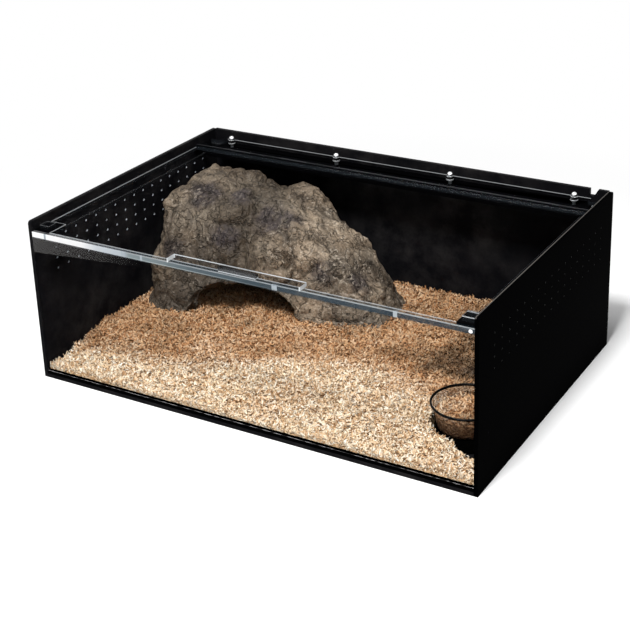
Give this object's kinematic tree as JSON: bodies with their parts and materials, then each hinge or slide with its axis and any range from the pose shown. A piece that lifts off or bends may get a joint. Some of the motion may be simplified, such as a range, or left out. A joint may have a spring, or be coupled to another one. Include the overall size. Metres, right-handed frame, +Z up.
{
  "type": "reptile terrarium",
  "caption": "Low front-view reptile terrarium of black sheets with a clear front and a clear hinged lid, holding wood shavings, a rock hide and a round water bowl.",
  "frame": {"origin": "middle of the footprint on the floor, the lid's front overhang included", "axes": "+X to the right along the longest side, -Y out of the clear front, +Z up"},
  "size_m": [0.6, 0.404, 0.212],
  "materials": {
    "black_acrylic": "polished black acrylic sheet with fine dust",
    "clear_acrylic": "polished clear acrylic sheet with bright edges",
    "clear_hinge": "clear moulded plastic",
    "pin_steel": "drawn steel wire",
    "screw_steel": "plain steel",
    "nut_chrome": "bright plated",
    "shavings": "loose dry wood shavings",
    "cast_rock": "rough cast rock, tan-grey with darker patches",
    "bowl_clear": "clear, polished"
  },
  "bodies": {
    "root": {"base_panel": "black_acrylic", "left_side_panel": "black_acrylic", "right_side_panel": "black_acrylic", "back_panel": "black_acrylic", "front_pane": "clear_acrylic", "front_bottom_strip": "black_acrylic", "front_top_rail": "clear_acrylic", "left_ledge": "clear_acrylic", "right_ledge": "clear_acrylic", "front_ledge": "clear_acrylic", "rear_ledge": "black_acrylic", "left_corner_plate": "black_acrylic", "right_corner_plate": "black_acrylic", "left_corner_block": "clear_acrylic", "right_corner_block": "clear_acrylic", "rear_lid_strip": "clear_acrylic", "strip_screws": "screw_steel", "strip_washers": "screw_steel", "cap_nuts": "nut_chrome", "hinge_fixed_leaf": "clear_hinge", "hinge_pin": "pin_steel", "bedding": "shavings", "rock_hide": "cast_rock", "water_bowl": "bowl_clear"},
    "lid": {"lid_panel": "clear_acrylic", "lid_handle": "clear_acrylic", "hinge_lid_leaf": "clear_hinge"}
  },
  "joints": [
    {"name": "lid_hinge", "type": "hinge", "parent": "root", "child": "lid", "pos_m": [0, 0.1502, 0.2026], "axis": [-1, 0, 0], "range_deg": [0, 165]}
  ]
}
